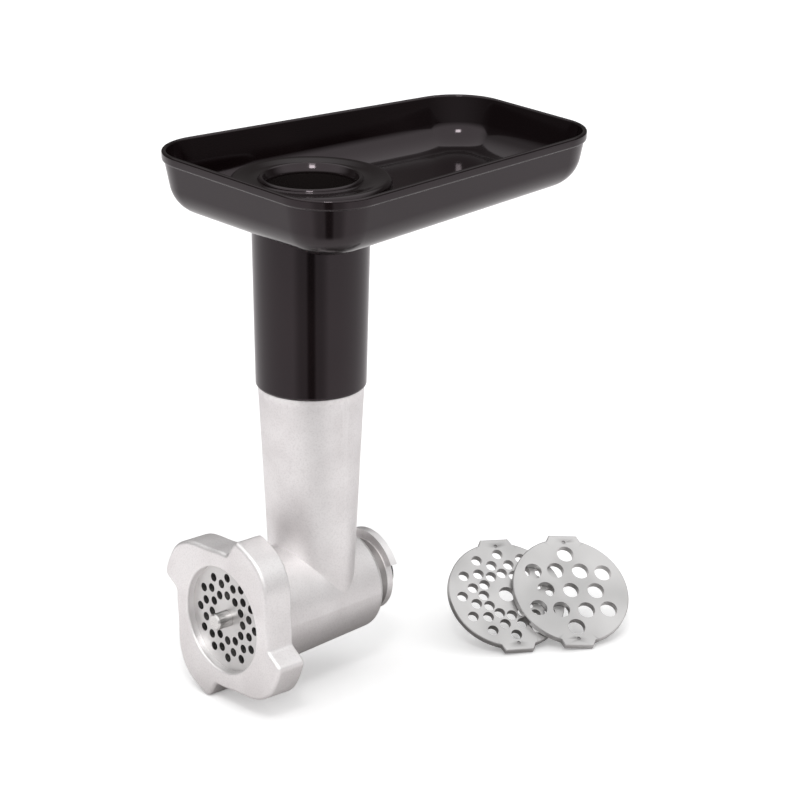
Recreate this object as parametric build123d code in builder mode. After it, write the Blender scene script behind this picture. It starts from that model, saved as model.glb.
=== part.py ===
"""Meat mincer attachment for a stand mixer: housing, screw, knife, plates, ring nut, feed chute and tray.

Frame: millimetres, +Z up. The origin is on the barrel axis, at the shoulder that meets the mixer's hub.
The barrel runs along Y, with its nose towards -Y, and the feed tube stands up along +Z.
A station is a distance ahead of the shoulder, towards the nose, so a station s lies at y = -s.
"""

import os
from math import atan, cos, radians, sin

from build123d import *

# Plates: the size 8 pattern that all three share
PLATE_R = 31.0
PLATE_T = 4.0
SPARE_PLATE_T = 3.5
PLATE_EAR_R = 33.0
PLATE_EAR_W = 15.0
PLATE_EAR_FLARE = 2.0
PLATE_BORE_R = 4.25
PLATE_EDGE = 0.4
DIMPLE_R = 1.0
DIMPLE_AT = 28.9
DIMPLE_DEPTH = 0.4
FINE_RINGS = (11.9, 17.3, 21.1)
FINE_HOLE_R = 2.2
MEDIUM_RINGS = (12.5, 18.0, 24.0)
MEDIUM_HOLE_R = 2.85
RING_HOLES = 12
RING_STEP = 15.0
COARSE_PITCH = 13.5
COARSE_OUTER_PITCH = 21.8
COARSE_HOLE_R = 4.5
COARSE_HOLES = 6
COARSE_STEP = 30.0

# Stations along the barrel, ahead of the hub shoulder
NUT_FRONT = 84.5
NUT_LENGTH = 16.0
NUT_BACK = NUT_FRONT - NUT_LENGTH
LIP_T = 4.2
PLATE_FACE = NUT_FRONT - LIP_T
PLATE_BACK = PLATE_FACE - PLATE_T
HEAD_FRONT = PLATE_BACK + 2.0
HEAD_BACK = 71.5
HEAD_FLARE = 1.5
BORE_REAR = 4.0
FEED_S = 27.0
RUN_GAP = 0.06
FACE_GAP = 0.1

# Ring nut
NUT_PEAK_R = 46.3
NUT_SLOPE_R = 42.1
NUT_VALLEY_R = 35.9
NUT_LOBES = 4
NUT_RISE = 76.0
NUT_FLANK = 6.0
NUT_CREST = 18.0
NUT_SLOPE = 40.0
NUT_TAIL = 67.0
NUT_SQUARE = 1.0
NUT_CORNER_R = 4.2
NUT_ROOT_R = 3.0
NUT_FRONT_EDGE = 2.3
NUT_BACK_EDGE = 0.8
NUT_MOUTH_R = 26.9
NUT_MOUTH_EDGE = 0.9
THREAD_R = 33.8
THREAD_PITCH = 3.0
THREAD_BASE = 1.8
THREAD_CREST = 0.7
THREAD_SUNK = 0.2

# Housing
BARREL_FRONT_R = 29.3
BARREL_REAR_R = 25.0
HEAD_R = 32.9
SHOULDER_EDGE = 3.2
NECK_R = 18.7
NECK_L = 11.5
NECK_EDGE = 0.8
PILOT_R = 14.2
PILOT_L = 2.6
REAR_FACE = NECK_L + PILOT_L
NECK_CORE_R = 16.2
NECK_CORE_WALL_R = 13.4
NECK_CORE_DEPTH = 9.0
NECK_RIB_W = 3.0
NECK_RIBS = 6
LUG_R = 23.4
LUG_T = 4.0
LUG_ROOT_R = NECK_R - 1.0
LUGS = ((27.0, 86.0), (190.0, 58.0))
BORE_FRONT_R = 25.4
BORE_REAR_R = 20.6
SEAT_R = PLATE_R + 0.2
NOTCH_W = PLATE_EAR_W + 2.0 * PLATE_EAR_FLARE + 0.6
FEED_FOOT_HALF_W = 25.6
FEED_FOOT_HALF_L = 16.5
FEED_TOP_R = 26.0
FEED_TOP_Z = 109.4
SPIGOT_R = 23.5
SPIGOT_TOP_Z = 155.0
SPIGOT_EDGE = 1.0
THROAT_FOOT_HALF_W = 19.5
THROAT_FOOT_HALF_L = 13.9
THROAT_TOP_R = 20.4

# Rear bearing, seal and washer
BUSH_R = 11.0
JOURNAL_R = 9.0
BUSH_FLANGE_R = 12.6
BUSH_FLANGE_T = 1.2
BUSH_EDGE = 0.3
JOURNAL_END = REAR_FACE + BUSH_FLANGE_T
SEAL_L = 3.4
SEAL_GROOVE_R = 10.3
SEAL_GROOVE_START = 0.3
SEAL_GROOVE_END = 0.7
WASHER_R = 16.0
WASHER_T = 0.9

# Screw, stud and rear coupling
SCREW_REAR = 5.0
SCREW_FRONT = 70.5
CORE_REAR_R = 9.5
CORE_FRONT_R = 8.2
BOSS_R = 10.0
BOSS_L = 6.0
BOSS_CONE_L = 1.5
FLIGHT_REAR = 12.0
FLIGHT_PITCH = 27.0
FLIGHT_L = 54.0
FLIGHT_ROOT_T = 6.0
FLIGHT_TIP_T = 3.2
FLIGHT_GAP = 0.8
FLIGHT_SUNK = 1.0
STUD_R = 4.15
STUD_TIP = 88.6
STUD_REAR = 54.0
STUD_SQUARE = 9.0
STUD_SQUARE_R = 5.6
STUD_EDGE = 0.7
SOCKET_SQUARE = 8.0
SOCKET_DEPTH = 9.0
COUPLING_R = 11.6
COUPLING_T = 2.0
HEX_R = 6.3
HEX_L = 4.5
COUPLING_END = JOURNAL_END + COUPLING_T + HEX_L
SCREW_HOLE_R = 2.1
SCREW_HEAD_R = 3.6
SCREW_HEAD_T = 2.4
SCREW_TIP = 10.0
SCREW_SLOT_W = 1.2
SCREW_SLOT_D = 1.0

# Knife
KNIFE_R = 24.4
KNIFE_T = 3.4
KNIFE_HUB_R = 9.4
KNIFE_ROOT_W = 8.6
KNIFE_TIP_W = 5.2
KNIFE_SWEEP = 4.0
KNIFE_ARMS = 4
KNIFE_TIP_BACK = 1.2
KNIFE_BEND_R = 13.4
KNIFE_BEND_SWEEP = 1.2

# Tray
RIM_Z = 223.0
RIM_FRONT_W = 143.2
RIM_REAR_W = 103.8
RIM_L = 197.4
RIM_CORNER_R = 27.9
RIM_FRONT_Y = -78.0
RIM_BAND = 4.8
RIM_PROUD = 0.5
TRAY_WALL = 2.3
TRAY_DRAFT = 11.0
TRAY_FRONT_DEPTH = 31.4
TRAY_REAR_DEPTH = 27.4
TRAY_BASE_R = 17.0
TRAY_BLANK = 45.0
RIM_EDGE = 0.5
COLLAR_R = 39.0
COLLAR_Z = 213.8
COLLAR_EDGE = 2.0
COLLAR_DISH = 1.5
COLLAR_DISH_R = 31.0
COLLAR_ROOF_Z = 209.8
COLLAR_FOOT_Z = 193.8
COLLAR_WALL_R = 35.5
SOCKET_WALL_R = 31.0
LIP_R = 24.3
LIP_Z = 214.4
LIP_W = 1.3
LIP_DROP = 2.6

# Feed chute
CHUTE_TOP_R = 28.6
CHUTE_FOOT_R = 27.1
CHUTE_KNEE_Z = 189.3
CHUTE_TOP_Z = 209.6
CHUTE_BORE_R = 21.2
CHUTE_EDGE = 1.6

# Spare plates, leaning side by side with the coarse one in front
TABLE_Z = -44.7
LEAN = 37.0
FACING = -20.4
COARSE_X = 47.1
COARSE_Y = 108.6
PLATE_LIFT = 22.9
STACK_GAP = 0.3
STACK_SHIFT = 33.3
COARSE_TURN = 10.3
MEDIUM_TURN = 5.4

BARREL_PLANE = Plane.XY
FEED_PLANE = Plane(origin=(0, -FEED_S, 0), x_dir=(1, 0, 0), z_dir=(0, -1, 0))
FEED_AXIS = Axis((0, -FEED_S, 0), (0, 0, 1))
BORE_TAPER = (BORE_FRONT_R - BORE_REAR_R) / (PLATE_BACK - BORE_REAR)
OVERRUN = 1.0


def bore_radius(station):
    """Radius of the tapered barrel bore at a station."""
    return BORE_REAR_R + BORE_TAPER * (station - BORE_REAR)


def nose_plane(station):
    """Plane across the barrel at a station, facing the nose, with local x along +X and y along +Z."""
    return Plane.XZ.offset(station)


def feed_level(height):
    """Level plane centred on the feed tube's axis at a height."""
    return Plane(origin=(0, -FEED_S, height), x_dir=(1, 0, 0), z_dir=(0, 0, 1))


def polar(radius, angle):
    """Point at a radius and an angle in degrees."""
    return (radius * cos(radians(angle)), radius * sin(radians(angle)))


def turned(x, y, angle):
    """Point turned about the origin by an angle in degrees."""
    cosine = cos(radians(angle))
    sine = sin(radians(angle))
    return (x * cosine - y * sine, x * sine + y * cosine)


def finish(piece, name):
    """Label a finished piece and write its file."""
    piece.part.label = name
    export_step(piece.part, f"parts/{name}.step")


def plate_blank(plane, thickness):
    """Draw and extrude the round plate with its ears on the plane's x axis, into the open part."""
    tip = PLATE_EAR_W / 2.0
    root = tip + PLATE_EAR_FLARE
    neck = PLATE_R - PLATE_EAR_FLARE
    with BuildSketch(plane) as outline:
        Circle(PLATE_R)
        with BuildLine():
            Polyline(
                (neck, root),
                (PLATE_EAR_R, tip),
                (PLATE_EAR_R, -tip),
                (neck, -root),
                (-neck, -root),
                (-PLATE_EAR_R, -tip),
                (-PLATE_EAR_R, tip),
                (-neck, root),
                close=True,
            )
        make_face()
    extrude(outline.sketch, amount=-thickness)


def drill_rings(plane, rings, radius):
    """Drill the rings of round holes, each ring turned half a step from the one before."""
    for index, ring in enumerate(rings):
        with Locations(plane):
            with PolarLocations(ring, RING_HOLES, start_angle=(index % 2) * RING_STEP):
                Hole(radius)


def mark_ears(plane):
    """Sink the two small register dimples beside the ears."""
    with BuildSketch(plane) as dimples:
        with PolarLocations(DIMPLE_AT, 2):
            Circle(DIMPLE_R)
    extrude(dimples.sketch, amount=-DIMPLE_DEPTH, mode=Mode.SUBTRACT)


def break_rims(part, edge):
    """Chamfer the outer edges of the two large flat faces."""
    faces = part.faces().sort_by(SortBy.AREA)[-2:]
    chamfer([face.outer_wire().edges() for face in faces], length=edge)


def tray_outline(inset, corner):
    """Draw the tapered rim outline, moved in by an inset, into the sketch being built."""
    front = RIM_FRONT_W / 2.0
    rear = RIM_REAR_W / 2.0
    with BuildLine() as outline:
        Polyline(
            (-front, RIM_FRONT_Y),
            (front, RIM_FRONT_Y),
            (rear, RIM_FRONT_Y + RIM_L),
            (-rear, RIM_FRONT_Y + RIM_L),
            close=True,
        )
        offset(amount=-inset, kind=Kind.INTERSECTION, mode=Mode.REPLACE)
    face = make_face(outline.edges())
    fillet(face.vertices(), radius=corner)


os.makedirs("parts", exist_ok=True)

# Housing: tapered barrel, threaded head, feed tube with its spigot, neck and bayonet lugs
with BuildPart() as thread_ridge:
    with BuildLine() as thread_path:
        Helix(
            pitch=THREAD_PITCH,
            height=HEAD_FRONT - HEAD_BACK - THREAD_BASE,
            radius=HEAD_R,
            center=(0, THREAD_BASE / 2.0 - HEAD_FRONT, 0),
            direction=(0, 1, 0),
        )
    with BuildSketch(Plane(thread_path.line @ 0, x_dir=(0, 1, 0), z_dir=thread_path.line % 0)):
        with BuildLine():
            Polyline(
                (-THREAD_BASE / 2.0, -THREAD_SUNK),
                (THREAD_BASE / 2.0, -THREAD_SUNK),
                (THREAD_CREST / 2.0, THREAD_R - HEAD_R),
                (-THREAD_CREST / 2.0, THREAD_R - HEAD_R),
                close=True,
            )
        make_face()
    sweep(path=thread_path.line, is_frenet=True)

with BuildPart() as housing:
    with BuildSketch(BARREL_PLANE) as barrel_profile:
        with BuildLine():
            Polyline(
                (0, REAR_FACE),
                (PILOT_R, REAR_FACE),
                (PILOT_R, NECK_L),
                (NECK_R, NECK_L),
                (NECK_R, 0),
                (BARREL_REAR_R, 0),
                (BARREL_FRONT_R, -(HEAD_BACK - HEAD_FLARE)),
                (HEAD_R, -HEAD_BACK),
                (HEAD_R, -HEAD_FRONT),
                (0, -HEAD_FRONT),
                close=True,
            )
        make_face()
    revolve(barrel_profile.sketch, axis=Axis.Y)
    rings = housing.edges().filter_by(GeomType.CIRCLE)
    fillet(rings.filter_by(lambda edge: abs(edge.radius - BARREL_REAR_R) < FACE_GAP), radius=SHOULDER_EDGE)
    neck_rings = housing.edges().filter_by(GeomType.CIRCLE).filter_by(
        lambda edge: abs(edge.radius - NECK_R) < FACE_GAP
    )
    chamfer(neck_rings.sort_by(Axis.Y)[-1], length=NECK_EDGE)
    with BuildSketch(feed_level(0)) as feed_foot:
        Ellipse(FEED_FOOT_HALF_W, FEED_FOOT_HALF_L)
    with BuildSketch(feed_level(FEED_TOP_Z)) as feed_top:
        Circle(FEED_TOP_R)
    loft([feed_foot.sketch, feed_top.sketch])
    with BuildSketch(feed_level(FEED_TOP_Z)) as spigot:
        Circle(SPIGOT_R)
    extrude(spigot.sketch, amount=SPIGOT_TOP_Z - FEED_TOP_Z)
    chamfer(housing.faces().sort_by(Axis.Z)[-1].edges(), length=SPIGOT_EDGE)
    add(thread_ridge.part)
    for start, sweep_angle in LUGS:
        with BuildSketch(nose_plane(-NECK_L)) as lug:
            with BuildLine():
                CenterArc((0, 0), LUG_R, start, sweep_angle)
                Line(polar(LUG_R, start + sweep_angle), polar(LUG_ROOT_R, start + sweep_angle))
                CenterArc((0, 0), LUG_ROOT_R, start, sweep_angle)
                Line(polar(LUG_R, start), polar(LUG_ROOT_R, start))
            make_face()
        extrude(lug.sketch, amount=LUG_T)
    with BuildSketch(BARREL_PLANE) as bore_profile:
        with BuildLine():
            Polyline(
                (0, OVERRUN + REAR_FACE),
                (BUSH_R, OVERRUN + REAR_FACE),
                (BUSH_R, -BORE_REAR),
                (BORE_REAR_R, -BORE_REAR),
                (BORE_FRONT_R, -PLATE_BACK),
                (SEAT_R, -PLATE_BACK),
                (SEAT_R, -(HEAD_FRONT + OVERRUN)),
                (0, -(HEAD_FRONT + OVERRUN)),
                close=True,
            )
        make_face()
    revolve(bore_profile.sketch, axis=Axis.Y, mode=Mode.SUBTRACT)
    with BuildSketch(nose_plane(PLATE_BACK)) as notches:
        Rectangle(NOTCH_W, 2.0 * THREAD_R + 2.0 * OVERRUN)
        Circle(BORE_FRONT_R - OVERRUN, mode=Mode.SUBTRACT)
    extrude(notches.sketch, amount=HEAD_FRONT - PLATE_BACK + OVERRUN, mode=Mode.SUBTRACT)
    with BuildSketch(feed_level(0)) as throat_foot:
        Ellipse(THROAT_FOOT_HALF_W, THROAT_FOOT_HALF_L)
    with BuildSketch(feed_level(FEED_TOP_Z)) as throat_top:
        Circle(THROAT_TOP_R)
    loft([throat_foot.sketch, throat_top.sketch], mode=Mode.SUBTRACT)
    extrude(throat_top.sketch, amount=SPIGOT_TOP_Z - FEED_TOP_Z + OVERRUN, mode=Mode.SUBTRACT)
    with BuildSketch(nose_plane(-NECK_L)) as core_pockets:
        Circle(NECK_CORE_R)
        Circle(NECK_CORE_WALL_R, mode=Mode.SUBTRACT)
        with PolarLocations(0, NECK_RIBS // 2):
            Rectangle(2.0 * NECK_R, NECK_RIB_W, mode=Mode.SUBTRACT)
    extrude(core_pockets.sketch, amount=NECK_CORE_DEPTH, mode=Mode.SUBTRACT)
finish(housing, "housing")

# Rear bush with its flange, pressed into the neck
with BuildPart() as rear_bush:
    with BuildSketch(BARREL_PLANE) as bush_profile:
        with BuildLine():
            Polyline(
                (JOURNAL_R + RUN_GAP, REAR_FACE + BUSH_FLANGE_T),
                (BUSH_FLANGE_R, REAR_FACE + BUSH_FLANGE_T),
                (BUSH_FLANGE_R, REAR_FACE),
                (BUSH_R, REAR_FACE),
                (BUSH_R, SEAL_L - BORE_REAR),
                (JOURNAL_R + RUN_GAP, SEAL_L - BORE_REAR),
                close=True,
            )
        make_face()
    revolve(bush_profile.sketch, axis=Axis.Y)
    chamfer(rear_bush.edges().sort_by(Axis.Y)[-1], length=BUSH_EDGE)
finish(rear_bush, "rear_bush")

# Shaft seal ahead of the bush, with a grease groove between its two lips
with BuildPart() as shaft_seal:
    with BuildSketch(BARREL_PLANE) as seal_profile:
        with BuildLine():
            Polyline(
                (BUSH_R, -BORE_REAR),
                (BUSH_R, SEAL_L - BORE_REAR),
                (JOURNAL_R + RUN_GAP, SEAL_L - BORE_REAR),
                (SEAL_GROOVE_R, SEAL_L * SEAL_GROOVE_END - BORE_REAR),
                (SEAL_GROOVE_R, SEAL_L * SEAL_GROOVE_START - BORE_REAR),
                (JOURNAL_R + RUN_GAP, -BORE_REAR),
                close=True,
            )
        make_face()
    revolve(seal_profile.sketch, axis=Axis.Y)
finish(shaft_seal, "shaft_seal")

# Thrust washer between the screw's shoulder and the rear wall of the bore
with BuildPart() as thrust_washer:
    with BuildSketch(nose_plane(BORE_REAR)) as washer_face:
        Circle(WASHER_R)
        Circle(JOURNAL_R + RUN_GAP, mode=Mode.SUBTRACT)
    extrude(washer_face.sketch, amount=WASHER_T)
finish(thrust_washer, "thrust_washer")

# Screw: tapered core, journal and one helical flight trimmed to the bore's taper
with BuildPart() as flight:
    with BuildLine() as flight_path:
        Helix(
            pitch=FLIGHT_PITCH,
            height=FLIGHT_L,
            radius=CORE_REAR_R,
            center=(0, -(FLIGHT_REAR + FLIGHT_L), 0),
            direction=(0, 1, 0),
        )
    with BuildSketch(Plane(flight_path.line @ 0, x_dir=(0, 1, 0), z_dir=flight_path.line % 0)):
        with BuildLine():
            Polyline(
                (-FLIGHT_ROOT_T / 2.0, CORE_FRONT_R - CORE_REAR_R - FLIGHT_SUNK),
                (FLIGHT_ROOT_T / 2.0, CORE_FRONT_R - CORE_REAR_R - FLIGHT_SUNK),
                (FLIGHT_TIP_T / 2.0, BORE_FRONT_R - CORE_REAR_R),
                (-FLIGHT_TIP_T / 2.0, BORE_FRONT_R - CORE_REAR_R),
                close=True,
            )
        make_face()
    sweep(path=flight_path.line, is_frenet=True)
    with BuildSketch(BARREL_PLANE) as envelope:
        with BuildLine():
            Polyline(
                (0, -SCREW_REAR),
                (bore_radius(SCREW_REAR) - FLIGHT_GAP, -SCREW_REAR),
                (bore_radius(SCREW_FRONT) - FLIGHT_GAP, -SCREW_FRONT),
                (0, -SCREW_FRONT),
                close=True,
            )
        make_face()
    revolve(envelope.sketch, axis=Axis.Y, mode=Mode.INTERSECT)

with BuildPart() as auger_screw:
    with BuildSketch(BARREL_PLANE) as core_profile:
        with BuildLine():
            Polyline(
                (0, JOURNAL_END),
                (JOURNAL_R, JOURNAL_END),
                (JOURNAL_R, -SCREW_REAR),
                (WASHER_R, -SCREW_REAR),
                (WASHER_R, -(SCREW_REAR + BUSH_FLANGE_T)),
                (CORE_REAR_R, -FLIGHT_REAR),
                (CORE_FRONT_R, -(SCREW_FRONT - BOSS_L)),
                (BOSS_R, -(SCREW_FRONT - BOSS_L + BOSS_CONE_L)),
                (BOSS_R, -SCREW_FRONT),
                (0, -SCREW_FRONT),
                close=True,
            )
        make_face()
    revolve(core_profile.sketch, axis=Axis.Y)
    add(flight.part)
    with BuildSketch(nose_plane(STUD_REAR)) as stud_socket:
        Circle(STUD_R)
    extrude(stud_socket.sketch, amount=SCREW_FRONT - STUD_REAR, mode=Mode.SUBTRACT)
    with BuildSketch(nose_plane(-JOURNAL_END)) as coupling_socket:
        Rectangle(SOCKET_SQUARE, SOCKET_SQUARE)
    extrude(coupling_socket.sketch, amount=SOCKET_DEPTH, mode=Mode.SUBTRACT)
    with BuildSketch(nose_plane(-JOURNAL_END)) as screw_hole:
        Circle(SCREW_HOLE_R)
    extrude(screw_hole.sketch, amount=SCREW_TIP + JOURNAL_END, mode=Mode.SUBTRACT)
finish(auger_screw, "auger_screw")

# Steel stud pressed into the screw's nose: a square for the knife, then a round pilot through the plate
with BuildPart() as auger_stud:
    with BuildSketch(nose_plane(STUD_REAR)) as stud_round:
        Circle(STUD_R)
    extrude(stud_round.sketch, amount=STUD_TIP - STUD_REAR)
    with BuildSketch(nose_plane(SCREW_FRONT)) as stud_square:
        Rectangle(STUD_SQUARE, STUD_SQUARE)
        Circle(STUD_SQUARE_R, mode=Mode.INTERSECT)
    extrude(stud_square.sketch, amount=PLATE_BACK - SCREW_FRONT - FACE_GAP)
    chamfer(auger_stud.edges().sort_by(Axis.Y)[0], length=STUD_EDGE)
finish(auger_stud, "auger_stud")

# Cross knife: four swept arms with their cutting faces forward, on a square-bored hub
with BuildPart() as cross_knife:
    with BuildSketch(nose_plane(PLATE_BACK - FACE_GAP - KNIFE_T)) as knife_face:
        Circle(KNIFE_HUB_R)
        for arm in range(KNIFE_ARMS):
            turn = arm * 360.0 / KNIFE_ARMS
            with BuildLine():
                tail = ThreePointArc(
                    turned(0, -KNIFE_ROOT_W / 2.0, turn),
                    turned(KNIFE_BEND_R, KNIFE_BEND_SWEEP - KNIFE_ROOT_W / 2.0, turn),
                    turned(KNIFE_R - KNIFE_TIP_BACK, KNIFE_SWEEP - KNIFE_TIP_W / 2.0, turn),
                )
                lead = ThreePointArc(
                    turned(0, KNIFE_ROOT_W / 2.0, turn),
                    turned(KNIFE_BEND_R, KNIFE_BEND_SWEEP + KNIFE_ROOT_W / 2.0, turn),
                    turned(KNIFE_R - KNIFE_TIP_BACK, KNIFE_SWEEP + KNIFE_TIP_W / 2.0, turn),
                )
                Line(tail @ 1, lead @ 1)
                Line(tail @ 0, lead @ 0)
            make_face()
        Circle(KNIFE_R, mode=Mode.INTERSECT)
    extrude(knife_face.sketch, amount=KNIFE_T)
    with BuildSketch(nose_plane(SCREW_FRONT)) as knife_hub:
        Circle(KNIFE_HUB_R)
    extrude(knife_hub.sketch, amount=PLATE_BACK - SCREW_FRONT - KNIFE_T)
    with BuildSketch(nose_plane(SCREW_FRONT)) as knife_square:
        Rectangle(STUD_SQUARE + RUN_GAP, STUD_SQUARE + RUN_GAP)
    extrude(knife_square.sketch, amount=PLATE_BACK - SCREW_FRONT, mode=Mode.SUBTRACT)
finish(cross_knife, "cross_knife")

# Rear coupling: a square tail in the screw's journal, a disc and the hexagon that the mixer turns
with BuildPart() as drive_coupling:
    with BuildSketch(nose_plane(-JOURNAL_END)) as disc:
        Circle(COUPLING_R)
    extrude(disc.sketch, amount=-COUPLING_T)
    with BuildSketch(nose_plane(-(JOURNAL_END + COUPLING_T))) as hexagon:
        RegularPolygon(HEX_R, 6)
    extrude(hexagon.sketch, amount=-HEX_L)
    chamfer(drive_coupling.faces().sort_by(Axis.Y)[-1].edges(), length=STUD_EDGE)
    with BuildSketch(nose_plane(-JOURNAL_END)) as tail:
        Rectangle(SOCKET_SQUARE, SOCKET_SQUARE)
    extrude(tail.sketch, amount=SOCKET_DEPTH - FACE_GAP)
    with Locations(nose_plane(-COUPLING_END)):
        CounterBoreHole(SCREW_HOLE_R, SCREW_HEAD_R, SCREW_HEAD_T)
finish(drive_coupling, "drive_coupling")

# Slotted screw that holds the coupling
with BuildPart() as coupling_screw:
    with BuildSketch(nose_plane(-COUPLING_END + SCREW_HEAD_T)) as screw_head:
        Circle(SCREW_HEAD_R - RUN_GAP)
    extrude(screw_head.sketch, amount=-(SCREW_HEAD_T - FACE_GAP))
    with BuildSketch(nose_plane(-COUPLING_END + SCREW_HEAD_T)) as screw_shank:
        Circle(SCREW_HOLE_R - RUN_GAP)
    extrude(screw_shank.sketch, amount=COUPLING_END - SCREW_HEAD_T + SCREW_TIP - OVERRUN)
    with BuildSketch(nose_plane(-COUPLING_END + FACE_GAP)) as slot:
        Rectangle(2.0 * SCREW_HEAD_R, SCREW_SLOT_W)
    extrude(slot.sketch, amount=SCREW_SLOT_D, mode=Mode.SUBTRACT)
finish(coupling_screw, "coupling_screw")

# Fine plate, seated in the head with its ears up and down
fine_plane = Plane(origin=(0, -PLATE_FACE, 0), x_dir=(0, 0, 1), z_dir=(0, -1, 0))
with BuildPart() as fine_plate:
    plate_blank(fine_plane, PLATE_T)
    break_rims(fine_plate, PLATE_EDGE)
    drill_rings(fine_plane, FINE_RINGS, FINE_HOLE_R)
    with Locations(fine_plane):
        Hole(STUD_R + RUN_GAP)
    mark_ears(fine_plane)
finish(fine_plate, "fine_plate")

# Spare plates: the coarse one leans in front, the medium one beside and behind it in a parallel plane
plate_normal = Vector(
    sin(radians(LEAN)) * cos(radians(FACING)),
    sin(radians(LEAN)) * sin(radians(FACING)),
    cos(radians(LEAN)),
)
upslope = (Vector(0, 0, 1) - plate_normal * cos(radians(LEAN))).normalized()
sideways = plate_normal.cross(upslope) * -1.0
coarse_centre = Vector(COARSE_X, COARSE_Y, TABLE_Z + PLATE_LIFT)
stack_step = SPARE_PLATE_T + STACK_GAP
medium_rise = stack_step * cos(radians(LEAN)) / sin(radians(LEAN))
medium_centre = coarse_centre - plate_normal * stack_step - sideways * STACK_SHIFT + upslope * medium_rise


def turned_plane(centre, turn):
    """Plane of a spare plate, with its ear axis turned from the upslope direction towards sideways."""
    ear_axis = upslope * cos(radians(turn)) + sideways * sin(radians(turn))
    return Plane(origin=centre, x_dir=ear_axis, z_dir=plate_normal)


medium_plane = turned_plane(medium_centre, MEDIUM_TURN)
with BuildPart() as medium_plate:
    plate_blank(medium_plane, SPARE_PLATE_T)
    break_rims(medium_plate, PLATE_EDGE)
    drill_rings(medium_plane, MEDIUM_RINGS, MEDIUM_HOLE_R)
    with Locations(medium_plane):
        Hole(PLATE_BORE_R)
    mark_ears(medium_plane)
finish(medium_plate, "medium_plate")

coarse_plane = turned_plane(coarse_centre, COARSE_TURN)
with BuildPart() as coarse_plate:
    plate_blank(coarse_plane, SPARE_PLATE_T)
    break_rims(coarse_plate, PLATE_EDGE)
    with Locations(coarse_plane):
        with PolarLocations(COARSE_PITCH, COARSE_HOLES, start_angle=COARSE_STEP):
            Hole(COARSE_HOLE_R)
    with Locations(coarse_plane):
        with PolarLocations(COARSE_OUTER_PITCH, COARSE_HOLES):
            Hole(COARSE_HOLE_R)
    with Locations(coarse_plane):
        Hole(PLATE_BORE_R)
    mark_ears(coarse_plane)
finish(coarse_plate, "coarse_plate")

# Ring nut: four grip lobes, each a steep flank, a crest and a long falling back
with BuildPart() as ring_nut:
    with BuildSketch(nose_plane(NUT_BACK)) as nut_outline:
        with BuildLine():
            for lobe in range(NUT_LOBES):
                rise = NUT_RISE - lobe * 360.0 / NUT_LOBES
                ThreePointArc(
                    polar(NUT_PEAK_R, rise - NUT_SQUARE),
                    polar(NUT_PEAK_R, rise - NUT_CREST / 2.0),
                    polar(NUT_PEAK_R, rise - NUT_CREST),
                )
                ThreePointArc(
                    polar(NUT_PEAK_R, rise - NUT_CREST),
                    polar(NUT_SLOPE_R, rise - NUT_SLOPE),
                    polar(NUT_VALLEY_R, rise - NUT_TAIL),
                )
                valley_end = rise - 360.0 / NUT_LOBES + NUT_FLANK
                ThreePointArc(
                    polar(NUT_VALLEY_R, rise - NUT_TAIL),
                    polar(NUT_VALLEY_R, (rise - NUT_TAIL + valley_end) / 2.0),
                    polar(NUT_VALLEY_R, valley_end),
                )
                Line(polar(NUT_VALLEY_R, valley_end), polar(NUT_PEAK_R, valley_end - NUT_FLANK - NUT_SQUARE))
        make_face()
        corners = nut_outline.vertices().group_by(lambda corner: round(Vector(corner.X, corner.Z).length, 1))
        fillet(corners[-1], radius=NUT_CORNER_R)
        bends = nut_outline.vertices().group_by(lambda corner: round(Vector(corner.X, corner.Z).length, 1))
        fillet(bends[0], radius=NUT_ROOT_R)
    extrude(nut_outline.sketch, amount=NUT_LENGTH)
    fillet(ring_nut.faces().sort_by(Axis.Y)[0].outer_wire().edges(), radius=NUT_FRONT_EDGE)
    with BuildSketch(BARREL_PLANE) as nut_bore:
        with BuildLine():
            Polyline(
                (0, -(NUT_BACK - OVERRUN)),
                (THREAD_R + RUN_GAP + NUT_BACK_EDGE + OVERRUN, -(NUT_BACK - OVERRUN)),
                (THREAD_R + RUN_GAP, -(NUT_BACK + NUT_BACK_EDGE)),
                (THREAD_R + RUN_GAP, -PLATE_FACE),
                (NUT_MOUTH_R, -PLATE_FACE),
                (NUT_MOUTH_R, -(NUT_FRONT - NUT_MOUTH_EDGE)),
                (NUT_MOUTH_R + NUT_MOUTH_EDGE + OVERRUN, -(NUT_FRONT + OVERRUN)),
                (0, -(NUT_FRONT + OVERRUN)),
                close=True,
            )
        make_face()
    revolve(nut_bore.sketch, axis=Axis.Y, mode=Mode.SUBTRACT)
finish(ring_nut, "ring_nut")

# Tray: drafted shell under a proud rim band, floor falling to the feed end, raised collar over the chute
base_tilt = atan((TRAY_FRONT_DEPTH - TRAY_REAR_DEPTH) / RIM_L)


def base_plane(thickness):
    """Plane of the tray's sloping underside, moved up by a thickness."""
    return Plane(
        origin=(0, RIM_FRONT_Y, RIM_Z - TRAY_FRONT_DEPTH + thickness),
        x_dir=(1, 0, 0),
        z_dir=(0, -sin(base_tilt), cos(base_tilt)),
    )


with BuildPart() as tray_hollow:
    with BuildSketch(Plane.XY.offset(RIM_Z)) as hollow_top:
        tray_outline(TRAY_WALL, RIM_CORNER_R - TRAY_WALL)
    extrude(hollow_top.sketch, amount=-TRAY_BLANK, taper=TRAY_DRAFT)
    split(bisect_by=base_plane(TRAY_WALL), keep=Keep.TOP)
    fillet(tray_hollow.faces().sort_by(Axis.Z)[0].outer_wire().edges(), radius=TRAY_BASE_R - TRAY_WALL)
    with BuildSketch(Plane.XY.offset(RIM_Z)) as hollow_mouth:
        tray_outline(TRAY_WALL, RIM_CORNER_R - TRAY_WALL)
    extrude(hollow_mouth.sketch, amount=OVERRUN)

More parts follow.
